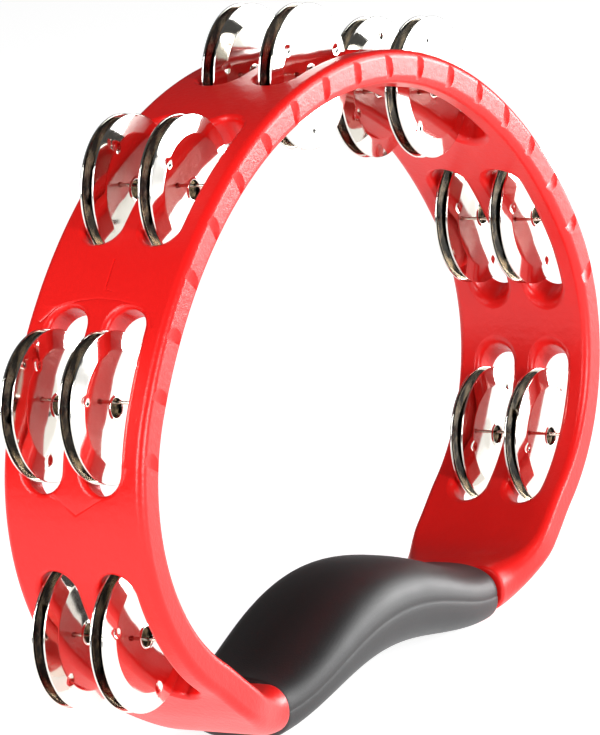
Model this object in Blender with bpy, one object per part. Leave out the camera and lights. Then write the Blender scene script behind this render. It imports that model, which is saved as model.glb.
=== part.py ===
"""A hand tambourine: an open moulded frame with a gripped bottom bar and two rows of paired steel jingles.

Metres, +Z up. X runs across the frame, Y runs along its short axis with the ridged front lip at -Y, and the
origin is on the ground, under the middle of the grip, half way between the two rows of jingles.
"""

import math

import bmesh
import bpy
from mathutils import Vector

MM = 0.001
GAP = 0.3 * MM

# Outline of the frame, as the middle line of its wall in the XZ plane.
ARC_CENTRE_Z = 46.4 * MM
ARC_RADIUS = 138 * MM
ARC_END = math.radians(61.5)
SIDE_RADIUS = 62 * MM
SIDE_END = math.radians(145.5)
TOE_X = 63.5 * MM
TOE_Z = 10.9 * MM
GRIP_TOP_Z = 21.9 * MM
SHOULDER_HANDLE = 9 * MM
TOE_HANDLE = 17.6 * MM
PATH_STEPS = 60

# Wall of the frame.
WALL = 10 * MM
DEPTH = 47 * MM
CORNER = 2.6 * MM
TOE_WALL = 14.4 * MM
TOE_DEPTH = 38.6 * MM
TOE_CORNER = 6.8 * MM
WALL_BLEND = 23 * MM
DEPTH_BLEND = 28 * MM
CORNER_STEPS = 4

# Bar inside the grip.
CORE_DEPTH = 27 * MM
CORE_WALL = 14 * MM
CORE_END_WALL = 8 * MM
CORE_CORNER = 3 * MM
CORE_OVERLAP = 18 * MM

# Rubber sleeve on the bar, as an oval that is squarer than an ellipse.
SLEEVE_WALL = 28.2 * MM
SLEEVE_END_WALL = 19.4 * MM
SLEEVE_DEPTH = 41.6 * MM
SLEEVE_END_DEPTH = 35.6 * MM
SLEEVE_DROP = 1.3 * MM
SLEEVE_SQUARENESS = 2.6
SLEEVE_SIDES = 28

# Slots, jingles and pins.
ROW_PITCH = 19.4 * MM
SLOT_LENGTH = 53 * MM
SLOT_WIDTH = 12 * MM
SLOT_END_STEPS = 8
SLOT_ANGLES = (0, 30, 60)
LOW_SLOT_ANGLE = 125.5
SLOT_NAMES = ("top", "upper", "middle", "lower")
JINGLE_RADIUS = 21.5 * MM
JINGLE_HOLE_RADIUS = 3 * MM
JINGLE_CROWN_RADIUS = 15.5 * MM
JINGLE_SHEET = 0.7 * MM
JINGLE_CROWN = 1.0 * MM
JINGLE_SPACING = 3.7 * MM
JINGLE_SIDES = 20
FRONT_JINGLE_Y = 0.3 * MM
PIN_RADIUS = 0.5 * MM
PIN_SIDES = 10
PIN_BACK_INSET = 0.6 * MM
PIN_FRONT_INSET = 4 * MM

# How far each pair lies off its pin, across and up, and how far it has slid forward, in millimetres.
PAIR_REST = {
    "left_lower": (-1.3, 1.1, 0),
    "left_middle": (-1.5, -1.2, 0),
    "left_upper": (-1.4, -0.9, 0),
    "top": (-2.1, -0.1, 0),
    "right_upper": (-1.5, 1.7, 0),
    "right_middle": (1.9, 0.9, 0.4),
    "right_lower": (0.9, -1, 0),
}

# Ridges across the front lip.
NOTCH_COUNT = 19
NOTCH_PITCH = math.radians(7.5)
NOTCH_DEPTH = 1.0 * MM
NOTCH_RUN = 4.6 * MM

RED = (0.80, 0.012, 0.014)
BLACK = (0.018, 0.018, 0.020)
STEEL = (0.78, 0.77, 0.75)


def clear_scene():
    for old in list(bpy.data.objects):
        bpy.data.objects.remove(old, do_unlink=True)


def material(name, colour, roughness, metallic):
    made = bpy.data.materials.new(name)
    made.use_nodes = True
    shader = made.node_tree.nodes["Principled BSDF"]
    shader.inputs["Base Color"].default_value = (*colour, 1)
    shader.inputs["Roughness"].default_value = roughness
    shader.inputs["Metallic"].default_value = metallic
    return made


def add_object(name, mesh, finish=None, helper=False):
    made = bpy.data.objects.new(name, mesh)
    bpy.context.scene.collection.objects.link(made)
    if finish:
        mesh.materials.append(finish)
    if helper:
        made.hide_render = True
        made.display_type = "WIRE"
    return made


def mesh_from(name, shape, smooth_angle=35):
    bmesh.ops.recalc_face_normals(shape, faces=shape.faces)
    mesh = bpy.data.meshes.new(name)
    shape.to_mesh(mesh)
    shape.free()
    mesh.shade_smooth()
    mesh.set_sharp_from_angle(angle=math.radians(smooth_angle))
    return mesh


def cut(target, other, operation="DIFFERENCE"):
    modifier = target.modifiers.new(other.name, "BOOLEAN")
    modifier.operation = operation
    modifier.object = other


def blend(value, low, high):
    """0 below low, 1 above high, and a half cosine between."""
    share = min(max((value - low) / (high - low), 0), 1)
    return (1 - math.cos(math.pi * share)) / 2


def bezier(p0, p1, p2, p3):
    """Points of a cubic curve, without its last one."""
    points = []
    for step in range(PATH_STEPS):
        t = step / PATH_STEPS
        u = 1 - t
        points.append(p0 * u**3 + p1 * 3 * u * u * t + p2 * 3 * u * t * t + p3 * t**3)
    return points


def arc(centre, radius, start, end):
    """Points of an arc, with angles from +Z towards +X, without its last one."""
    points = []
    for step in range(PATH_STEPS):
        angle = start + (end - start) * step / PATH_STEPS
        points.append(centre + radius * Vector((math.sin(angle), math.cos(angle))))
    return points


ARC_CENTRE = Vector((0, ARC_CENTRE_Z))
SIDE_CENTRE = ARC_CENTRE + (ARC_RADIUS - SIDE_RADIUS) * Vector((math.sin(ARC_END), math.cos(ARC_END)))


def half_outline():
    """Middle line of the wall, as (x, z), from the middle of the grip round the +X side to the top."""
    middle = Vector((0, GRIP_TOP_Z))
    toe = Vector((TOE_X, TOE_Z))
    shoulder = SIDE_CENTRE + SIDE_RADIUS * Vector((math.sin(SIDE_END), math.cos(SIDE_END)))
    shoulder_run = SHOULDER_HANDLE * Vector((-math.cos(SIDE_END), math.sin(SIDE_END)))
    across = Vector((TOE_X, 0))
    points = bezier(middle, middle + 0.42 * across, toe - 0.30 * across, toe)
    points += bezier(toe, toe + Vector((TOE_HANDLE, 0)), shoulder - shoulder_run, shoulder)
    points += arc(SIDE_CENTRE, SIDE_RADIUS, SIDE_END, ARC_END)
    points += arc(ARC_CENTRE, ARC_RADIUS, ARC_END, 0)
    points.append(ARC_CENTRE + Vector((0, ARC_RADIUS)))
    return points


OUTLINE = half_outline()
RUNS = [0.0]
for before, after in zip(OUTLINE, OUTLINE[1:]):
    RUNS.append(RUNS[-1] + (after - before).length)


def along(run):
    """The outline's point and outward normal at a distance from the middle of the grip, negative on the -X side."""
    distance = min(abs(run), RUNS[-1])
    index = next(i for i in range(1, len(RUNS)) if RUNS[i] >= distance)
    first, second = OUTLINE[index - 1], OUTLINE[index]
    share = (distance - RUNS[index - 1]) / (RUNS[index] - RUNS[index - 1])
    point = first.lerp(second, share)
    step = (second - first).normalized()
    normal = Vector((step.y, -step.x))
    if distance == 0:
        normal = Vector((0, -1))
    if distance == RUNS[-1]:
        normal = Vector((0, 1))
    if run < 0:
        return Vector((-point.x, point.y)), Vector((-normal.x, normal.y))
    return point, normal


TOE_RUN = RUNS[PATH_STEPS]
SHOULDER_RUN = RUNS[2 * PATH_STEPS]
SIDE_RUN = RUNS[3 * PATH_STEPS]
TOP_RUN = RUNS[-1]


def across_at(run):
    """The outline's point and outward normal as vectors in space."""
    point, normal = along(run)
    return Vector((point.x, 0, point.y)), Vector((normal.x, 0, normal.y))


def section(run, wall, depth, corner):
    """A rounded rectangle across the outline, as points in space."""
    centre, out = across_at(run)
    radius = min(corner, 0.98 * wall / 2)
    points = []
    for quarter, (side, face) in enumerate(((1, 1), (-1, 1), (-1, -1), (1, -1))):
        for step in range(CORNER_STEPS + 1):
            angle = math.pi / 2 * (quarter + step / CORNER_STEPS)
            across = side * (wall / 2 - radius) + radius * math.cos(angle)
            deep = face * (depth / 2 - radius) + radius * math.sin(angle)
            points.append(centre + out * across + Vector((0, deep, 0)))
    return points


def sweep(name, stations):
    """A solid through sections of equal point count, closed by flat ends."""
    shape = bmesh.new()
    loops = [[shape.verts.new(point) for point in station] for station in stations]
    for first, second in zip(loops, loops[1:]):
        for i in range(len(first)):
            j = (i + 1) % len(first)
            shape.faces.new((first[i], first[j], second[j], second[i]))
    shape.faces.new(loops[0])
    shape.faces.new(loops[-1])
    return mesh_from(name, shape)


def steps_between(start, end, count):
    return [start + (end - start) * step / count for step in range(count)]


def both_sides(runs):
    """Distances from the -X end, over the top of the frame, to the +X end, from those of the +X side."""
    return [-run for run in runs] + [run for run in reversed(runs) if run != TOP_RUN]


def ring_solid(name):
    """The frame from one end of the grip, over the top, to the other."""
    runs = steps_between(TOE_RUN, TOE_RUN + DEPTH_BLEND, 8)
    runs += steps_between(TOE_RUN + DEPTH_BLEND, SHOULDER_RUN, 2)
    runs += steps_between(SHOULDER_RUN, SIDE_RUN, 10)
    runs += steps_between(SIDE_RUN, TOP_RUN, 13)
    runs.append(TOP_RUN)
    stations = []
    for run in both_sides(runs):
        slim = blend(abs(run), TOE_RUN, TOE_RUN + WALL_BLEND)
        deep = blend(abs(run), TOE_RUN, TOE_RUN + DEPTH_BLEND)
        wall = TOE_WALL + (WALL - TOE_WALL) * slim
        depth = TOE_DEPTH + (DEPTH - TOE_DEPTH) * deep
        corner = TOE_CORNER + (CORNER - TOE_CORNER) * deep
        stations.append(section(run, wall, depth, corner))
    return sweep(name, stations)


def core_solid(name, grow=0.0):
    """The bar through the grip, thin where it runs into the frame's wall, grown by a clearance."""
    end = TOE_RUN + CORE_OVERLAP
    stations = []
    for run in steps_between(-end, end, 20) + [end]:
        wall = CORE_WALL + (CORE_END_WALL - CORE_WALL) * blend(abs(run), 0, TOE_RUN)
        stations.append(section(run, wall + 2 * grow, CORE_DEPTH + 2 * grow, CORE_CORNER + grow))
    return sweep(name, stations)


def squared_oval(run, wall, depth, drop):
    """An oval across the outline with a flat facet on its outer side, as points in space."""
    centre, out = across_at(run)
    points = []
    for i in range(SLEEVE_SIDES):
        angle = 2 * math.pi * (i + 0.5) / SLEEVE_SIDES
        far, side = math.cos(angle), math.sin(angle)
        across = drop + math.copysign(abs(far) ** (2 / SLEEVE_SQUARENESS), far) * wall / 2
        deep = math.copysign(abs(side) ** (2 / SLEEVE_SQUARENESS), side) * depth / 2
        points.append(centre + out * across + Vector((0, deep, 0)))
    return points


def sleeve_outer():
    """Outside of the rubber: fat in the middle of the grip and slimmer at its two blunt ends."""
    end = TOE_RUN - GAP
    stations = []
    for run in steps_between(-end, end, 16) + [end]:
        slim = blend(abs(run), 0, TOE_RUN)
        wall = SLEEVE_WALL + (SLEEVE_END_WALL - SLEEVE_WALL) * slim
        depth = SLEEVE_DEPTH + (SLEEVE_END_DEPTH - SLEEVE_DEPTH) * abs(run / TOE_RUN) ** 3
        stations.append(squared_oval(run, wall, depth, SLEEVE_DROP * slim))
    return sweep("grip_sleeve", stations)


def slot_places():
    """(name, x, z, outward normal) of each slot position, from the -X side over the top to the +X side."""
    places = []
    for side, label in ((-1, "left_"), (1, "right_")):
        for number, name in enumerate(SLOT_NAMES[1:], 1):
            low = name == "lower"
            angle = math.radians(LOW_SLOT_ANGLE if low else SLOT_ANGLES[number])
            centre, radius = (SIDE_CENTRE, SIDE_RADIUS) if low else (ARC_CENTRE, ARC_RADIUS)
            out = Vector((math.sin(angle), math.cos(angle)))
            point = centre + radius * out
            places.append((label + name, side * point.x, point.y, Vector((side * out.x, 0, out.y))))
    places.append(("top", 0, ARC_CENTRE_Z + ARC_RADIUS, Vector((0, 0, 1))))
    return places


def slot_cutters(places):
    """Every slot as a round-ended prism through the wall."""
    shape = bmesh.new()
    reach = 18 * MM
    straight = (SLOT_LENGTH - SLOT_WIDTH) / 2
    for _, x, z, out in places:
        tangent = Vector((out.z, 0, -out.x))
        for row in (-1, 1):
            centre = Vector((x, row * ROW_PITCH / 2, z))
            loop = []
            for end in (1, -1):
                for step in range(SLOT_END_STEPS + 1):
                    angle = math.pi * (step / SLOT_END_STEPS - 0.5)
                    run = end * (straight + SLOT_WIDTH / 2 * math.cos(angle))
                    loop.append(centre + tangent * run + Vector((0, end * SLOT_WIDTH / 2 * math.sin(angle), 0)))
            low = [shape.verts.new(point - out * reach) for point in loop]
            high = [shape.verts.new(point + out * reach) for point in loop]
            shape.faces.new(low)
            shape.faces.new(high)
            for i in range(len(loop)):
                j = (i + 1) % len(loop)
                shape.faces.new((low[i], low[j], high[j], high[i]))
    return add_object("slot_cutters", mesh_from("slot_cutters", shape), helper=True)


def notch_cutters():
    """Wedges that leave a square step on one side and fade out on the other."""
    shape = bmesh.new()
    face = -DEPTH / 2
    for number in range(NOTCH_COUNT):
        angle = (number - (NOTCH_COUNT - 1) / 2) * NOTCH_PITCH
        out = Vector((math.sin(angle), 0, math.cos(angle)))
        onward = Vector((out.z, 0, -out.x))
        start = Vector((0, 0, ARC_CENTRE_Z))
        loops = []
        for radius in (ARC_RADIUS - WALL, ARC_RADIUS + WALL):
            foot = start + out * radius
            loops.append([
                shape.verts.new(foot + Vector((0, face + NOTCH_DEPTH, 0))),
                shape.verts.new(foot + Vector((0, face - NOTCH_DEPTH, 0))),
                shape.verts.new(foot + onward * 2 * NOTCH_RUN + Vector((0, face - NOTCH_DEPTH, 0))),
            ])
        shape.faces.new(loops[0])
        shape.faces.new(loops[1])
        for i in range(3):
            j = (i + 1) % 3
            shape.faces.new((loops[0][i], loops[0][j], loops[1][j], loops[1][i]))
    return add_object("notch_cutters", mesh_from("notch_cutters", shape), helper=True)


def rod(shape, x, z, radius, front, back):
    """Adds a round bar along Y to a bmesh."""
    rings = []
    for y in (front, back):
        angles = [2 * math.pi * i / PIN_SIDES for i in range(PIN_SIDES)]
        rings.append([shape.verts.new((x + radius * math.cos(a), y, z + radius * math.sin(a))) for a in angles])
    shape.faces.new(rings[0])
    shape.faces.new(rings[1])
    for i in range(PIN_SIDES):
        j = (i + 1) % PIN_SIDES
        shape.faces.new((rings[0][i], rings[0][j], rings[1][j], rings[1][i]))


def pin_hole_cutters(places):
    """Blind holes from the back face, through both slots and into the front lip."""
    shape = bmesh.new()
    for _, x, z, _ in places:
        rod(shape, x, z, PIN_RADIUS + GAP, -DEPTH / 2 + PIN_FRONT_INSET - GAP, DEPTH / 2 + WALL)
    return add_object("pin_hole_cutters", mesh_from("pin_hole_cutters", shape), helper=True)


def make_frame(places, finish):
    frame = add_object("frame", ring_solid("frame"), finish)
    core = add_object("core_bar", core_solid("core_bar"), helper=True)
    cut(frame, core, "UNION")
    cut(frame, slot_cutters(places))
    cut(frame, pin_hole_cutters(places))
    cut(frame, notch_cutters())
    return frame


def make_sleeve(finish):
    sleeve = add_object("grip_sleeve", sleeve_outer(), finish)
    cut(sleeve, add_object("core_clearance", core_solid("core_clearance", GAP), helper=True))
    return sleeve


def make_pins(places, finish):
    for name, x, z, _ in places:
        shape = bmesh.new()
        rod(shape, 0, 0, PIN_RADIUS, -DEPTH / 2 + PIN_FRONT_INSET, DEPTH / 2 - PIN_BACK_INSET)
        pin = add_object("pin_" + name, mesh_from("pin_" + name, shape), finish)
        pin.location = (x, 0, z)


def jingle_mesh(name, facing):
    """A crowned disc with a hole, turned about Y, whose rim lies at y = 0 and whose outside faces along facing."""
    profile = [
        (JINGLE_RADIUS, 0),
        (JINGLE_CROWN_RADIUS, -JINGLE_CROWN),
        (JINGLE_HOLE_RADIUS, -JINGLE_CROWN),
        (JINGLE_HOLE_RADIUS, JINGLE_SHEET - JINGLE_CROWN),
        (JINGLE_CROWN_RADIUS, JINGLE_SHEET - JINGLE_CROWN),
        (JINGLE_RADIUS, JINGLE_SHEET),
    ]
    shape = bmesh.new()
    rings = []
    for i in range(JINGLE_SIDES):
        angle = 2 * math.pi * i / JINGLE_SIDES
        rings.append([
            shape.verts.new((radius * math.cos(angle), -facing * inward, radius * math.sin(angle)))
            for radius, inward in profile
        ])
    for i in range(JINGLE_SIDES):
        first, second = rings[i], rings[(i + 1) % JINGLE_SIDES]
        for j in range(len(profile)):
            k = (j + 1) % len(profile)
            shape.faces.new((first[j], first[k], second[k], second[j]))
    return mesh_from(name, shape)


def make_jingles(places, finish):
    """In each slot a front disc and a back disc, with their hollow sides towards each other."""
    meshes = {"front": jingle_mesh("front_jingle", -1), "back": jingle_mesh("back_jingle", 1)}
    for mesh in meshes.values():
        mesh.materials.append(finish)
    for place, x, z, _ in places:
        across, up, forward = PAIR_REST[place]
        for row, row_y in (("front_row", -ROW_PITCH / 2), ("back_row", ROW_PITCH / 2)):
            rims = {"front": row_y + FRONT_JINGLE_Y, "back": row_y + FRONT_JINGLE_Y + JINGLE_SPACING + JINGLE_SHEET}
            for half, rim in rims.items():
                disc = add_object(f"jingle_{place}_{row}_{half}", meshes[half])
                disc.location = (x + across * MM, rim - forward * MM, z + up * MM)


def main():
    clear_scene()
    red = material("red_plastic", RED, 0.42, 0)
    black = material("black_rubber", BLACK, 0.6, 0)
    steel = material("plated_steel", STEEL, 0.12, 1)
    places = slot_places()
    make_frame(places, red)
    make_sleeve(black)
    make_pins(places, steel)
    make_jingles(places, steel)


main()
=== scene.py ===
"""Looks of the hand tambourine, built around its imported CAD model."""

import math

import bmesh
import bpy
import numpy as np
from mathutils import Euler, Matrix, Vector


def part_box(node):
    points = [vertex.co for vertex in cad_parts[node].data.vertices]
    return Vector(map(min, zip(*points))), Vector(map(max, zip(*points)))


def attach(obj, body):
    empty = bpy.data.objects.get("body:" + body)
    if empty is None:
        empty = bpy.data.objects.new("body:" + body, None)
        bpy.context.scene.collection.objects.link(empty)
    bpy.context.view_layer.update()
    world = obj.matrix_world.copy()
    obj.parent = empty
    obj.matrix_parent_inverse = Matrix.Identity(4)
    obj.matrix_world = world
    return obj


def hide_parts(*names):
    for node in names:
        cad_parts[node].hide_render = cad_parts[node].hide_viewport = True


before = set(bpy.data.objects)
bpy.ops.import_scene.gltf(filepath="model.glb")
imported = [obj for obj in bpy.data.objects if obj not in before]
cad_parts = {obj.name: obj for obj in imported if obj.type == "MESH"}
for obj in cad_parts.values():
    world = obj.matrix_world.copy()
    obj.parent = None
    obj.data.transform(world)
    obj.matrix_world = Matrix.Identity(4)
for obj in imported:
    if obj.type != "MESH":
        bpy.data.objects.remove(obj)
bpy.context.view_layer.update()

MM = 0.001
TURN = 2 * math.pi
SAME_SPOT = 1e-7
WELD = 0.002 * MM

# Outline of the frame, as the middle line of its wall in the XZ plane.
ARC_CENTRE_Z = 46.4 * MM
ARC_RADIUS = 138 * MM
ARC_END = math.radians(61.5)
SIDE_RADIUS = 62 * MM
SIDE_END = math.radians(145.5)
TOE_X = 63.5 * MM
TOE_Z = 10.9 * MM
GRIP_TOP_Z = 21.9 * MM
SHOULDER_HANDLE = 9 * MM
TOE_HANDLE = 17.6 * MM
MIDDLE_HANDLE = 0.42
TOE_INNER_HANDLE = 0.30
PATH_STEPS = 240

# Wall of the frame.
WALL = 10 * MM
DEPTH = 47 * MM
CORNER = 2.6 * MM
TOE_WALL = 14.4 * MM
TOE_DEPTH = 38.6 * MM
TOE_CORNER = 6.8 * MM
TOE_EDGE = 1.0 * MM
WALL_BLEND = 23 * MM
DEPTH_BLEND = 28 * MM
CORNER_STEPS = 8
STATION_PITCH = 2 * MM
CORE_DEPTH = 27 * MM
CORE_WALL = 14 * MM
CORE_END_WALL = 8 * MM
CORE_CORNER = 3 * MM
CORE_STEPS = 32
CORE_STEP_IN = 0.02 * MM

# Slots, pin holes and ridges.
ROW_PITCH = 19.4 * MM
SLOT_LENGTH = 53 * MM
SLOT_WIDTH = 12 * MM
SLOT_END_STEPS = 16
SLOT_FILLET = 2 * MM
SLOT_FLARE = 1.3 * SLOT_FILLET
SLOT_ANGLES = (0, 30, 60)
LOW_SLOT_ANGLE = math.radians(125.5)
SLOT_REACH = 29 * MM
SLOT_FADE = 36 * MM
PIN_HOLE_RADIUS = 0.8 * MM
PIN_HOLE_SIDES = 16
PIN_HOLE_FRONT = -19.8 * MM
NOTCH_COUNT = 19
NOTCH_PITCH = math.radians(7.5)
NOTCH_DEPTH = 1.15 * MM
NOTCH_BALL = 8.1 * MM
NOTCH_SPREAD = math.radians(60)
NOTCH_RINGS = 12
NOTCH_STEPS = 24

# Rubber grip.
SLEEVE_WALL = 28.2 * MM
SLEEVE_END_WALL = 19.4 * MM
SLEEVE_DEPTH = 41.6 * MM
SLEEVE_END_DEPTH = 35.6 * MM
SLEEVE_DROP = 1.3 * MM
SLEEVE_SQUARENESS = 2.6
SLEEVE_EDGE = 1.4 * MM
SLEEVE_SIDES = 72
SLEEVE_STATIONS = 110
SEAMS = (-math.pi / 2, math.pi / 2)
SEAM_DEPTH = 0.16 * MM
SEAM_SPREAD = math.radians(1.5)
GAP = 0.3 * MM

# Jingles.
DISC_RADIUS = 21.5 * MM
DISC_SIDES = 96
SHEET = 0.6 * MM
CROWN = 1.0 * MM
BASIN = 0.4 * MM
BASIN_RADIUS = 7 * MM
SHOULDER_RADIUS = 16 * MM
HOLE_RADIUS = 2.8 * MM
COLLAR_RADIUS = 3.4 * MM
COLLAR_RISE = 0.22 * MM
COLLAR_LENGTH = 1.1 * MM
DISC_RINGS = [COLLAR_RADIUS] + [r * MM for r in (4, 5, 6, 7, 7.8, 8.4, 9, 10.5, 12, 13.2)]
DISC_RINGS += [(13.8 + 0.36 * i) * MM for i in range(10)] + [r * MM for r in (17.6, 18.8, 20)]
DIMPLE_COUNT = 3
DIMPLE_AT = 15.6 * MM
DIMPLE_RADIUS = 1.7 * MM
DIMPLE_DEPTH = 0.55 * MM

# Pins.
PIN_TIP = 0.7
PIN_CHAMFER = 0.2 * MM
PIN_SIDES = 20


def add_object(name, mesh, finish=None):
    made = bpy.data.objects.new(name, mesh)
    bpy.context.scene.collection.objects.link(made)
    if finish:
        mesh.materials.append(finish)
    return made


def to_mesh(name, shape):
    mesh = bpy.data.meshes.new(name)
    shape.to_mesh(mesh)
    shape.free()
    return mesh


def smooth(mesh, degrees):
    """Smooth shading, with a hard edge where faces meet at more than so many degrees."""
    mesh.shade_smooth()
    mesh.set_sharp_from_angle(angle=math.radians(degrees))


def join_loops(shape, first, second):
    """Faces all round between two loops with as many corners."""
    for i in range(len(first)):
        j = (i + 1) % len(first)
        shape.faces.new((first[i], first[j], second[j], second[i]))


def tube(shape, loops, capped=True):
    """Faces along a row of loops, with a cap on both ends unless the ends stay open."""
    for first, second in zip(loops, loops[1:]):
        join_loops(shape, first, second)
    if capped:
        shape.faces.new(loops[0])
        shape.faces.new(loops[-1])


def finished(name, shape):
    """The shape with its normals outward, as an object."""
    bmesh.ops.recalc_face_normals(shape, faces=shape.faces)
    return add_object(name, to_mesh(name, shape))


def blend(value, low, high):
    """0 below low, 1 above high, and a half cosine between."""
    share = np.clip((value - low) / (high - low), 0, 1)
    return (1 - np.cos(np.pi * share)) / 2


# ---------------------------------------------------------------- outline


def bezier(p0, p1, p2, p3):
    t = (np.arange(PATH_STEPS) / PATH_STEPS)[:, None]
    u = 1 - t
    return p0 * u**3 + p1 * 3 * u * u * t + p2 * 3 * u * t * t + p3 * t**3


def arc(centre, radius, start, end):
    angle = start + (end - start) * np.arange(PATH_STEPS) / PATH_STEPS
    return centre + radius * np.stack([np.sin(angle), np.cos(angle)], 1)


ARC_CENTRE = np.array([0, ARC_CENTRE_Z])
SIDE_CENTRE = ARC_CENTRE + (ARC_RADIUS - SIDE_RADIUS) * np.array([math.sin(ARC_END), math.cos(ARC_END)])


def half_outline():
    """Middle line from the middle of the grip round the +X side to the top, with its outward normals."""
    middle = np.array([0, GRIP_TOP_Z])
    toe = np.array([TOE_X, TOE_Z])
    shoulder = SIDE_CENTRE + SIDE_RADIUS * np.array([math.sin(SIDE_END), math.cos(SIDE_END)])
    shoulder_run = SHOULDER_HANDLE * np.array([-math.cos(SIDE_END), math.sin(SIDE_END)])
    across = np.array([TOE_X, 0])
    points = np.concatenate([
        bezier(middle, middle + MIDDLE_HANDLE * across, toe - TOE_INNER_HANDLE * across, toe),
        bezier(toe, toe + np.array([TOE_HANDLE, 0]), shoulder - shoulder_run, shoulder),
        arc(SIDE_CENTRE, SIDE_RADIUS, SIDE_END, ARC_END),
        arc(ARC_CENTRE, ARC_RADIUS, ARC_END, 0),
        [ARC_CENTRE + np.array([0, ARC_RADIUS])],
    ])
    step = np.gradient(points, axis=0)
    step[0], step[-1] = (1, 0), (-1, 0)
    step /= np.linalg.norm(step, axis=1)[:, None]
    return points, np.stack([step[:, 1], -step[:, 0]], 1)


POINTS, NORMALS = half_outline()
RUNS = np.concatenate([[0], np.cumsum(np.linalg.norm(np.diff(POINTS, axis=0), axis=1))])
TOE_RUN = RUNS[PATH_STEPS]
TOP_RUN = RUNS[-1]


def place(s, height):
    """(x, z) and the way of growing s, of places s along the outline from the top and height out from it."""
    run = TOP_RUN - np.abs(s)
    side = np.where(s < 0, -1.0, 1.0)
    point = np.stack([side * np.interp(run, RUNS, POINTS[:, 0]), np.interp(run, RUNS, POINTS[:, 1])], -1)
    normal = np.stack([side * np.interp(run, RUNS, NORMALS[:, 0]), np.interp(run, RUNS, NORMALS[:, 1])], -1)
    return point + normal * np.asarray(height)[..., None], np.stack([normal[..., 1], -normal[..., 0]], -1)


SLOT_RUNS = [ARC_RADIUS * math.radians(angle) for angle in SLOT_ANGLES[1:]]
LOW_SLOT_RUN = ARC_RADIUS * ARC_END + SIDE_RADIUS * (LOW_SLOT_ANGLE - ARC_END)
SLOT_PLACES = [side * run for run in SLOT_RUNS for side in (-1, 1)] + [0.0, -LOW_SLOT_RUN, LOW_SLOT_RUN]

# The search in bend(): how many steps it takes, and what share of the miss each step makes up.
BEND_ROUNDS = 14
BEND_GAIN = 0.9


def bend(flat):
    """Wraps points (s, y, height) of a straightened frame round the outline.

    Near a slot, s is found again in small steps until a point lies as far from the slot's middle as it did,
    so that the slot's sides run straight through the wall.
    """
    s, y, height = flat.T
    bent = s.copy()
    for centre in SLOT_PLACES:
        near = np.abs(s - centre) < SLOT_FADE
        away, out = s[near] - centre, height[near]
        middle, along = place(np.array(centre), 0.0)
        found = s[near].copy()
        for _ in range(BEND_ROUNDS):
            found += BEND_GAIN * (away - (place(found, out)[0] - middle) @ along)
        keep = 1 - blend(np.abs(away), SLOT_REACH, SLOT_FADE)
        bent[near] = s[near] + keep * (found - s[near])
    xz = place(bent, height)[0]
    return np.stack([xz[:, 0], y, xz[:, 1]], 1)


# ---------------------------------------------------------------- frame


def rounded(wall, depth, corner):
    """A rounded rectangle as (height, y), from the outer back corner round by the inner side."""
    radius = min(corner, 0.49 * wall)
    loop = []
    for quarter, (out, back) in enumerate(((1, 1), (-1, 1), (-1, -1), (1, -1))):
        for step in range(CORNER_STEPS + 1):
            angle = math.pi / 2 * (quarter + step / CORNER_STEPS)
            loop.append((
                out * (wall / 2 - radius) + radius * math.cos(angle),
                back * (depth / 2 - radius) + radius * math.sin(angle),
            ))
    return loop


def core_wall(run):
    return CORE_WALL + (CORE_END_WALL - CORE_WALL) * float(blend(run, 0, TOE_RUN))


def frame_section(s):
    """The wall's section at s, with the toe's end rounded off."""
    run = TOP_RUN - abs(s)
    slim = float(blend(run, TOE_RUN, TOE_RUN + WALL_BLEND))
    deep = float(blend(run, TOE_RUN, TOE_RUN + DEPTH_BLEND))
    wall = TOE_WALL + (WALL - TOE_WALL) * slim
    depth = TOE_DEPTH + (DEPTH - TOE_DEPTH) * deep
    corner = TOE_CORNER + (CORNER - TOE_CORNER) * deep
    past = max(TOE_RUN + TOE_EDGE - run, 0)
    inset = TOE_EDGE - math.sqrt(max(TOE_EDGE**2 - past**2, 0))
    return rounded(wall - 2 * inset, depth - 2 * inset, corner - 0.5 * inset)


def straight_bar():
    """The frame straightened along X, from toe to toe, closed at both ends."""
    half = TOP_RUN - TOE_RUN
    count = round(half / STATION_PITCH)
    places = [half * i / count for i in range(count)]
    places += [half - TOE_EDGE * share for share in (1, 0.6, 0.3, 0.1, 0)]
    places = sorted({round(p, 7) for p in places if p <= half})
    places = [-p for p in reversed(places[1:])] + places
    shape = bmesh.new()
    tube(shape, [[shape.verts.new((s, y, height)) for height, y in frame_section(s)] for s in places])
    return finished("frame_bar", shape)


def slot_loop(offset):
    """A round-ended slot's outline about its middle, grown by an offset, in steps short enough to bend."""
    straight = (SLOT_LENGTH - SLOT_WIDTH) / 2
    radius = SLOT_WIDTH / 2 + offset
    steps = round(2 * straight / STATION_PITCH)
    loop = []
    for end in (1, -1):
        for step in range(SLOT_END_STEPS + 1):
            angle = math.pi * (step / SLOT_END_STEPS - 0.5)
            loop.append((end * (straight + radius * math.cos(angle)), end * radius * math.sin(angle)))
        loop += [(end * (straight - 2 * straight * i / steps), end * radius) for i in range(1, steps)]
    return loop


def slot_cutters():
    """Round-ended bars that flare at both faces of the wall, so that the slots get rounded edges."""
    shape = bmesh.new()
    half = WALL / 2
    flare = [math.radians(angle) for angle in (0, 18, 36, 54, 70, 82)]
    levels = [(half + SLOT_FILLET * (math.sin(a) - 1), SLOT_FILLET * (1 - math.cos(a))) for a in flare]
    levels += [(half + over, SLOT_FLARE) for over in (0.4 * MM, 3 * MM)]
    levels = [(-height, offset) for height, offset in reversed(levels)] + levels
    for centre in SLOT_PLACES:
        for row in (-1, 1):
            tube(shape, [
                [shape.verts.new((centre + u, row * ROW_PITCH / 2 + v, height)) for u, v in slot_loop(offset)]
                for height, offset in levels
            ])
    return finished("slot_cutters", shape)


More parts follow.
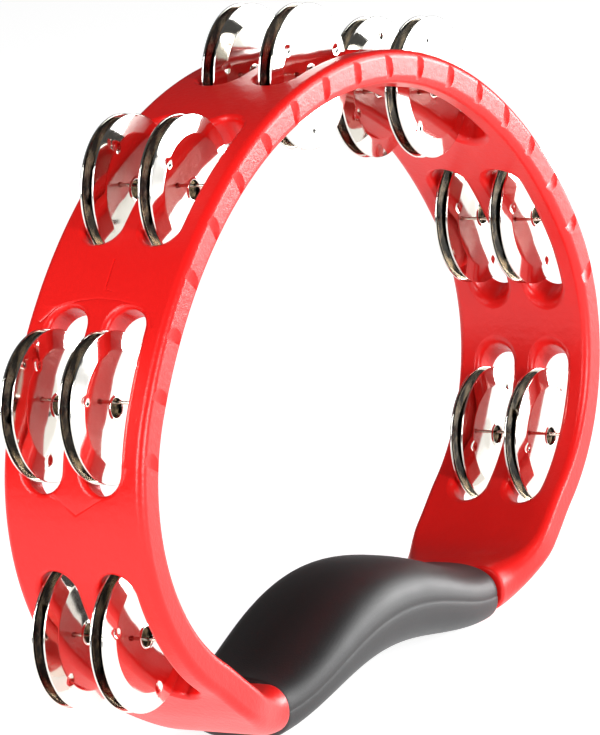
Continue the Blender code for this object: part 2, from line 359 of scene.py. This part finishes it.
def notch_cutters():
    """Half balls that leave a thumbnail notch with one straight side in the front lip."""
    shape = bmesh.new()
    centre_y = -DEPTH / 2 - NOTCH_BALL + NOTCH_DEPTH
    for number in range(NOTCH_COUNT):
        s = ARC_RADIUS * (number - (NOTCH_COUNT - 1) / 2) * NOTCH_PITCH
        verts = []
        for ring in range(NOTCH_RINGS + 1):
            tilt = NOTCH_SPREAD * ring / NOTCH_RINGS
            for step in range(NOTCH_STEPS + 1):
                turn = math.pi * (step / NOTCH_STEPS - 0.5)
                verts.append(shape.verts.new((
                    s + NOTCH_BALL * math.sin(tilt) * math.cos(turn),
                    centre_y + NOTCH_BALL * math.cos(tilt),
                    NOTCH_BALL * math.sin(tilt) * math.sin(turn),
                )))
        bmesh.ops.remove_doubles(shape, verts=verts, dist=SAME_SPOT)
        verts = [v for v in verts if v.is_valid]
        hull = bmesh.ops.convex_hull(shape, input=verts)
        inner = [g for g in hull["geom_interior"] if isinstance(g, bmesh.types.BMVert)]
        bmesh.ops.delete(shape, geom=inner, context="VERTS")
    return finished("notch_cutters", shape)


# Shallow grooves that the mould leaves on the outer face, as (s, y) in millimetres.
MOULD_LINES = (
    ((-104.3, 1.0), (-112.6, 0.5), (-113.1, -1.9)),
    (
        (-123, 19), (-118.6, 15.4), (-116, 8), (-115.2, 2),
        (-115.6, -5), (-117.2, -12), (-120, -16.4), (-124, -18.2),
    ),
    ((-161, 19.5), (-166.5, 15.5), (-176.2, -1), (-171, -12.5), (-168, -17), (-164, -18.2)),
)
MOULD_LINE_WIDTHS = (0.7 * MM, 1.19 * MM, 1.19 * MM)
MOULD_LINE_DEPTH = 0.26 * MM
MOULD_LINE_OVER = 0.2 * MM


def mould_line_cutters():
    """Mitred V-shaped bars along the mould lines."""
    shape = bmesh.new()
    for line, wide in zip(MOULD_LINES, MOULD_LINE_WIDTHS):
        spots = [Vector(spot) * MM for spot in line]
        ways = [(b - a).normalized() for a, b in zip(spots, spots[1:])]
        sections = []
        for i, spot in enumerate(spots):
            before, after = ways[max(i - 1, 0)], ways[min(i, len(ways) - 1)]
            way = (before + after).normalized()
            aside = Vector((-way.y, way.x)) * wide / 2 / max(way.dot(before), 0.5)
            aside *= 1 + MOULD_LINE_OVER / MOULD_LINE_DEPTH
            sections.append([
                shape.verts.new((spot.x, spot.y, WALL / 2 - MOULD_LINE_DEPTH)),
                shape.verts.new((*(spot + aside), WALL / 2 + MOULD_LINE_OVER)),
                shape.verts.new((*(spot - aside), WALL / 2 + MOULD_LINE_OVER)),
            ])
        tube(shape, sections)
    return finished("mould_line_cutters", shape)


def pin_hole_cutters():
    """Round bars that run from inside the front lip out through the back rim."""
    shape = bmesh.new()
    angles = [TURN * i / PIN_HOLE_SIDES for i in range(PIN_HOLE_SIDES)]
    circle = [(PIN_HOLE_RADIUS * math.cos(angle), PIN_HOLE_RADIUS * math.sin(angle)) for angle in angles]
    for centre in SLOT_PLACES:
        ends = (PIN_HOLE_FRONT, DEPTH)
        tube(shape, [[shape.verts.new((centre + u, y, v)) for u, v in circle] for y in ends])
    return finished("pin_hole_cutters", shape)


def add_core(shape):
    """Carries the bar on from both toes through the grip, and closes the ring."""
    half = TOP_RUN - TOE_RUN
    for side in (-1, 1):
        cap = next(f for f in shape.faces if all(abs(v.co.x - side * half) < SAME_SPOT for v in f.verts))
        ends = list(cap.verts)
        shape.faces.remove(cap)
        last = []
        for height, y in frame_section(half):
            spot = Vector((side * half, y, height))
            last.append(min(ends, key=lambda v: (v.co - spot).length))
        runs = [TOE_RUN * (1 - i / CORE_STEPS) for i in range(1, CORE_STEPS + 1)]
        for run in [TOE_RUN - CORE_STEP_IN] + runs:
            s = side * (TOP_RUN - run)
            loop = [shape.verts.new((s, y, h)) for h, y in rounded(core_wall(run), CORE_DEPTH, CORE_CORNER)]
            join_loops(shape, last, loop)
            last = loop


def make_frame(finish):
    bar = straight_bar()
    cutters = [slot_cutters(), pin_hole_cutters(), notch_cutters(), mould_line_cutters()]
    for cutter in cutters:
        modifier = bar.modifiers.new(cutter.name, "BOOLEAN")
        modifier.operation = "DIFFERENCE"
        modifier.object = cutter
    graph = bpy.context.evaluated_depsgraph_get()
    shape = bmesh.new()
    shape.from_mesh(bar.evaluated_get(graph).to_mesh())
    for helper in [bar] + cutters:
        bpy.data.objects.remove(helper, do_unlink=True)
    add_core(shape)
    flat = np.array([v.co for v in shape.verts])
    for vert, spot in zip(shape.verts, bend(flat)):
        vert.co = spot
    bmesh.ops.remove_doubles(shape, verts=shape.verts, dist=WELD)
    bmesh.ops.recalc_face_normals(shape, faces=shape.faces)
    mesh = to_mesh("frame_ring", shape)
    smooth(mesh, 38)
    ring = add_object("frame_ring", mesh, finish)
    weighted = ring.modifiers.new("weighted", "WEIGHTED_NORMAL")
    weighted.keep_sharp = True
    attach(ring, "body")
    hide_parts("frame")


# ---------------------------------------------------------------- grip


def sleeve_angles():
    """Angles round the sleeve, with a few close together at each seam for its groove."""
    angles = [TURN * i / SLEEVE_SIDES for i in range(SLEEVE_SIDES)]
    for seam in SEAMS:
        angles += [seam + math.radians(d) for d in (-1.6, -0.8, 0.8, 1.6)]
    return sorted({round(a % TURN, 6) for a in angles})


def sleeve_runs(end):
    """Distances along the sleeve from its middle, with a few close together where the ends round off."""
    runs = [end * (2 * i / SLEEVE_STATIONS - 1) for i in range(SLEEVE_STATIONS + 1)]
    runs = [r for r in runs if abs(r) < end - SLEEVE_EDGE]
    edge = [end - SLEEVE_EDGE * (1 - math.sin(math.radians(a))) for a in (0, 15, 30, 45, 60, 75, 90)]
    return [-r for r in reversed(edge)] + runs + edge


def sleeve_section(run, end, angles):
    """The sleeve's outer section as (height, y): a squared oval with a groove at each seam."""
    slim = float(blend(abs(run), 0, TOE_RUN))
    past = max(abs(run) - (end - SLEEVE_EDGE), 0)
    inset = SLEEVE_EDGE - math.sqrt(max(SLEEVE_EDGE**2 - past**2, 0))
    wall = SLEEVE_WALL + (SLEEVE_END_WALL - SLEEVE_WALL) * slim
    depth = SLEEVE_DEPTH + (SLEEVE_END_DEPTH - SLEEVE_DEPTH) * abs(run / TOE_RUN) ** 3
    power = 2 / SLEEVE_SQUARENESS
    section = []
    for angle in angles:
        near = min(abs((angle - seam + math.pi) % TURN - math.pi) for seam in SEAMS)
        groove = SEAM_DEPTH * max(0, 1 - near / SEAM_SPREAD)
        out, back = math.cos(angle), math.sin(angle)
        section.append((
            SLEEVE_DROP * slim + math.copysign(abs(out) ** power, out) * (wall / 2 - inset - groove),
            math.copysign(abs(back) ** power, back) * (depth / 2 - inset - groove),
        ))
    return section


def placed_loop(shape, run, section):
    """A section's corners, placed on the outline at a distance along it from the middle of the grip."""
    s = (TOP_RUN - abs(run)) * (-1 if run < 0 else 1)
    loop = []
    for height, y in section:
        x, z = place(np.array(s), height)[0]
        loop.append(shape.verts.new((x, y, z)))
    return loop


def make_grip(finish):
    end = TOE_RUN - GAP
    angles = sleeve_angles()
    shape = bmesh.new()
    outer, inner = [], []
    for run in sleeve_runs(end):
        bore = rounded(core_wall(abs(run)) + 2 * GAP, CORE_DEPTH + 2 * GAP, CORE_CORNER + GAP)
        outer.append(placed_loop(shape, run, sleeve_section(run, end, angles)))
        inner.append(placed_loop(shape, run, bore))
    for loops in (outer, inner):
        tube(shape, loops, capped=False)
    for side in (0, -1):
        ends = [loops[side] for loops in (outer, inner)]
        rings = [shape.edges.get((loop[i], loop[i - 1])) for loop in ends for i in range(len(loop))]
        bmesh.ops.bridge_loops(shape, edges=rings)
    bmesh.ops.recalc_face_normals(shape, faces=shape.faces)
    mesh = to_mesh("grip_rubber", shape)
    smooth(mesh, 50)
    grip = add_object("grip_rubber", mesh, finish)
    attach(grip, "body")
    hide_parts("grip_sleeve")


# ---------------------------------------------------------------- jingles and pins


def disc_depth(radius):
    """How far the disc's outer face lies behind its crest: a shallow basin, a crest and a sloping rim."""
    if radius < SHOULDER_RADIUS:
        return BASIN * (1 - max((radius - BASIN_RADIUS) / (SHOULDER_RADIUS - BASIN_RADIUS), 0) ** 1.6)
    return CROWN * (radius - SHOULDER_RADIUS) / (DISC_RADIUS - SHOULDER_RADIUS)


def disc_profile():
    """The disc's section as (radius, depth), closed through the hole, and the number of its outer corners."""
    lip = HOLE_RADIUS
    outer = [
        (lip, BASIN + COLLAR_LENGTH),
        (lip, BASIN),
        (lip + 0.1 * MM, BASIN - 0.6 * COLLAR_RISE),
        (lip + 0.3 * MM, BASIN - COLLAR_RISE),
        (COLLAR_RADIUS - 0.1 * MM, BASIN - 0.6 * COLLAR_RISE),
    ]
    outer += [(r, disc_depth(r)) for r in DISC_RINGS]
    rim = DISC_RADIUS - SHEET / 2
    middle = disc_depth(rim) + SHEET / 2
    for angle in (90, 65, 40, 15, -15, -40, -65, -90):
        turn = math.radians(angle)
        outer.append((rim + SHEET / 2 * math.cos(turn), middle - SHEET / 2 * math.sin(turn)))
    hollow = [(r, disc_depth(r) + SHEET) for r in reversed(DISC_RINGS)]
    hollow.append((lip + 0.25 * MM, BASIN + COLLAR_LENGTH))
    return outer + hollow, len(outer)


def pressed(radius, angle):
    """How far the dimples press the sheet inward at a place on the disc."""
    spot = Vector((radius * math.cos(angle), radius * math.sin(angle)))
    turns = [TURN * k / DIMPLE_COUNT for k in range(DIMPLE_COUNT)]
    away = min((spot - DIMPLE_AT * Vector((math.cos(turn), math.sin(turn)))).length for turn in turns)
    return DIMPLE_DEPTH * max(1 - (away / DIMPLE_RADIUS) ** 2, 0)


def disc_mesh(name, facing, turned, finish, inside):
    """A crowned disc about Y with a rolled collar and three dimples, whose outside faces along facing."""
    angles = [TURN * i / DISC_SIDES for i in range(DISC_SIDES)]
    dimples = [TURN * k / DIMPLE_COUNT for k in range(DIMPLE_COUNT)]
    angles += [dimple + math.radians(1.4 * i) for dimple in dimples for i in range(-5, 6)]
    angles = sorted({round(a % TURN, 5) for a in angles})
    profile, hollow_from = disc_profile()
    shape = bmesh.new()
    loops = []
    for angle in angles:
        at = angle + math.radians(turned)
        loop = []
        for radius, depth in profile:
            y = -facing * (depth + pressed(radius, angle))
            loop.append(shape.verts.new((radius * math.cos(at), y, radius * math.sin(at))))
        loops.append(loop)
    for first, second in zip(loops, loops[1:] + loops[:1]):
        for j in range(len(profile)):
            k = (j + 1) % len(profile)
            face = shape.faces.new((first[j], first[k], second[k], second[j]))
            face.material_index = 1 if j >= hollow_from or j == 0 else 0
    bmesh.ops.recalc_face_normals(shape, faces=shape.faces)
    mesh = to_mesh(name, shape)
    smooth(mesh, 60)
    mesh.materials.append(finish)
    mesh.materials.append(inside)
    return mesh


# Degrees that each disc has turned on its pin: the front row's front disc and back disc, and then the back
# row's.
TURNED = {
    "left_lower": (40, 80, 100, 20),
    "left_middle": (40, 100, 0, 60),
    "left_upper": (20, 80, 0, 60),
    "top": (20, 60, 40, 100),
    "right_upper": (100, 40, 80, 20),
    "right_middle": (40, 100, 40, 0),
    "right_lower": (60, 20, 60, 100),
}


def make_jingles(finish, inside):
    meshes = {}
    for spot, turns in TURNED.items():
        halves = [(row, half) for row in ("front_row", "back_row") for half in ("front", "back")]
        for (row, half), turned in zip(halves, turns):
            node = f"jingle_{spot}_{row}_{half}"
            if (half, turned) not in meshes:
                facing = -1 if half == "front" else 1
                meshes[half, turned] = disc_mesh(f"{half}_disc_{turned}", facing, turned, finish, inside)
            low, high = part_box(node)
            disc = add_object(f"disc_{spot}_{row}_{half}", meshes[half, turned])
            disc.location = ((low.x + high.x) / 2, low.y if half == "front" else high.y, (low.z + high.z) / 2)
            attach(disc, node)
            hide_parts(node)


def make_pins(finish):
    for spot in TURNED:
        low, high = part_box("pin_" + spot)
        radius = (high.x - low.x) / 2
        profile = [(0, low.y), (PIN_TIP * radius, low.y), (radius, low.y + PIN_CHAMFER)]
        profile += [(radius, high.y - PIN_CHAMFER), (PIN_TIP * radius, high.y), (0, high.y)]
        shape = bmesh.new()
        line = [shape.verts.new((r, y, 0)) for r, y in profile]
        edges = [shape.edges.new(pair) for pair in zip(line, line[1:])]
        bmesh.ops.spin(shape, geom=line + edges, cent=(0, 0, 0), axis=(0, 1, 0), angle=TURN, steps=PIN_SIDES)
        bmesh.ops.remove_doubles(shape, verts=shape.verts, dist=SAME_SPOT)
        bmesh.ops.recalc_face_normals(shape, faces=shape.faces)
        mesh = to_mesh("rod_" + spot, shape)
        smooth(mesh, 40)
        rod = add_object("rod_" + spot, mesh, finish)
        rod.location = ((low.x + high.x) / 2, 0, (low.z + high.z) / 2)
        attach(rod, "body")
        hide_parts("pin_" + spot)


# ---------------------------------------------------------------- materials


class Nodes:
    """A material's node tree, with short calls for adding to it."""

    def __init__(self, name):
        self.material = bpy.data.materials.new(name)
        self.material.use_nodes = True
        self.tree = self.material.node_tree
        self.shader = self.tree.nodes["Principled BSDF"]
        self.where = self.add("ShaderNodeTexCoord").outputs["Object"]

    def add(self, kind):
        return self.tree.nodes.new(kind)

    def link(self, source, target):
        self.tree.links.new(source, target)

    def noise(self, scale, detail=2.0, rough=0.5):
        node = self.add("ShaderNodeTexNoise")
        node.inputs["Scale"].default_value = scale
        node.inputs["Detail"].default_value = detail
        node.inputs["Roughness"].default_value = rough
        self.link(self.where, node.inputs["Vector"])
        return node.outputs["Fac"]

    def spread(self, source, low, high):
        node = self.add("ShaderNodeMapRange")
        node.inputs["To Min"].default_value = low
        node.inputs["To Max"].default_value = high
        self.link(source, node.inputs["Value"])
        return node.outputs["Result"]

    def ramp(self, source, *stops):
        node = self.add("ShaderNodeValToRGB")
        for element, (position, colour) in zip(node.color_ramp.elements, stops):
            element.position = position
            element.color = (*colour, 1)
        self.link(source, node.inputs["Fac"])
        return node.outputs["Color"]

    def bump(self, height, strength, distance, before=None):
        node = self.add("ShaderNodeBump")
        node.inputs["Strength"].default_value = strength
        node.inputs["Distance"].default_value = distance
        self.link(height, node.inputs["Height"])
        if before:
            self.link(before, node.inputs["Normal"])
        return node.outputs["Normal"]

    def set(self, **values):
        for key, value in values.items():
            self.shader.inputs[key.replace("_", " ")].default_value = value


def red_plastic():
    n = Nodes("red_plastic")
    colour = n.ramp(n.noise(14, 3), (0.3, (0.80, 0.008, 0.007)), (0.7, (0.86, 0.012, 0.009)))
    n.link(colour, n.shader.inputs["Base Color"])
    n.link(n.spread(n.noise(60, 3), 0.26, 0.34), n.shader.inputs["Roughness"])
    coarse = n.bump(n.noise(520, 2), 0.22, 0.0004)
    n.link(n.bump(n.noise(1800, 2, 0.6), 0.34, 0.00016, coarse), n.shader.inputs["Normal"])
    n.set(Specular_IOR_Level=0.45)
    return n.material


def black_rubber():
    n = Nodes("black_rubber")
    colour = n.ramp(n.noise(25, 3), (0.3, (0.004, 0.0045, 0.005)), (0.7, (0.007, 0.0075, 0.009)))
    n.link(colour, n.shader.inputs["Base Color"])
    n.link(n.spread(n.noise(90, 3), 0.45, 0.55), n.shader.inputs["Roughness"])
    n.link(n.bump(n.noise(1800, 3, 0.65), 0.35, 0.00015), n.shader.inputs["Normal"])
    n.set(Specular_IOR_Level=0.8, Sheen_Weight=0.04, Sheen_Roughness=0.4)
    return n.material


def plated_steel(name, colour, rough):
    n = Nodes(name)
    n.set(Metallic=1.0)
    tint = n.ramp(n.noise(120, 3), (0.3, colour), (0.7, tuple(0.94 * c for c in colour)))
    n.link(tint, n.shader.inputs["Base Color"])
    n.link(n.spread(n.noise(700, 3), rough, rough + 0.06), n.shader.inputs["Roughness"])
    n.link(n.bump(n.noise(220, 2), 0.02, 0.0001), n.shader.inputs["Normal"])
    return n.material


def painted_shade_steel():
    """The unpolished hollow side of the discs: near-black as a painted shade for the dark gap between each
    pair of discs, with tan patches.
    """
    n = Nodes("painted_shade_steel")
    n.set(Metallic=1.0)
    # Painted shade: a near-black base colour on the discs' hollow side, so the gap between paired discs looks
    # dark, broken by tan patches.
    gap_shade_with_tan = n.ramp(n.noise(110, 3, 0.6), (0.47, (0.02, 0.019, 0.017)), (0.6, (0.62, 0.52, 0.38)))
    n.link(gap_shade_with_tan, n.shader.inputs["Base Color"])
    n.link(n.spread(n.noise(500, 3), 0.16, 0.3), n.shader.inputs["Roughness"])
    n.link(n.bump(n.noise(900, 2), 0.06, 0.0001), n.shader.inputs["Normal"])
    return n.material


def pale_floor():
    n = Nodes("floor")
    n.set(Base_Color=(FLOOR_GREY, FLOOR_GREY, FLOOR_GREY, 1), Roughness=0.8)
    n.set(Emission_Color=(1, 1, 1, 1), Emission_Strength=FLOOR_GLOW)
    return n.material


# ---------------------------------------------------------------- stage

CAMERA_AT = (-1.31430, -0.82715, 0.43560)
CAMERA_LENS = 262.8
CAMERA_TURN = (77.69, 0.0, -57.64)
CAMERA_ROLL = -5.95
MIDDLE = Vector((0, 0, 0.1))
ROOM_GREY = 0.08
BACKDROP_GREY = 0.905
FLOOR_GREY = 0.6
FLOOR_GLOW = 0.85
FLOOR_HALF = 8


def make_camera():
    camera = add_object("camera", bpy.data.cameras.new("camera"))
    camera.location = CAMERA_AT
    turn = Euler([math.radians(a) for a in CAMERA_TURN], "XYZ").to_matrix()
    roll = Euler((0, 0, math.radians(CAMERA_ROLL)), "XYZ").to_matrix()
    camera.rotation_euler = (turn @ roll).to_euler()
    camera.data.lens = CAMERA_LENS
    camera.data.sensor_width = 36
    camera.data.clip_start = 0.05
    bpy.context.scene.camera = camera


def soft_light(name, where, size, power):
    """A rectangular light, in metres and watts, that faces the middle of the object."""
    light = bpy.data.lights.new(name, "AREA")
    light.shape = "RECTANGLE"
    light.size, light.size_y = size
    light.energy = power
    lamp = add_object(name, light)
    lamp.location = where
    lamp.rotation_euler = (MIDDLE - Vector(where)).to_track_quat("-Z", "Y").to_euler()


def make_world():
    """As pale as the far floor to look at, and a dark room for everything that the object reflects."""
    world = bpy.data.worlds.new("studio")
    world.use_nodes = True
    tree = world.node_tree
    ray = tree.nodes.new("ShaderNodeLightPath")
    mix = tree.nodes.new("ShaderNodeMix")
    mix.inputs["A"].default_value = ROOM_GREY
    mix.inputs["B"].default_value = BACKDROP_GREY
    tree.links.new(ray.outputs["Is Camera Ray"], mix.inputs["Factor"])
    tree.links.new(mix.outputs["Result"], tree.nodes["Background"].inputs["Strength"])
    tree.nodes["Background"].inputs["Color"].default_value = (1, 1, 1, 1)
    bpy.context.scene.world = world


def make_stage():
    shape = bmesh.new()
    bmesh.ops.create_grid(shape, x_segments=1, y_segments=1, size=FLOOR_HALF)
    finish = pale_floor()
    add_object("floor", to_mesh("floor", shape), finish)
    make_world()
    soft_light("key_softbox", (-0.5, -1.6, 0.5), (0.4, 0.7), 18)
    soft_light("left_strip", (-1.4, 0.0, 0.7), (0.15, 1.0), 15)
    soft_light("right_softbox", (1.3, -0.85, 0.5), (0.8, 0.8), 10)
    soft_light("low_softbox", (1.0, -0.65, 0.13), (0.9, 0.24), 8)
    bpy.context.scene.view_settings.view_transform = "Standard"
    bpy.context.scene.cycles.glossy_bounces = 5
    bpy.context.scene.cycles.max_bounces = 16


make_frame(red_plastic())
make_grip(black_rubber())
steel = plated_steel("plated_steel", (0.87, 0.85, 0.80), 0.04)
make_jingles(steel, painted_shade_steel())
make_pins(plated_steel("pin_steel", (0.80, 0.74, 0.64), 0.2))
make_stage()
make_camera()
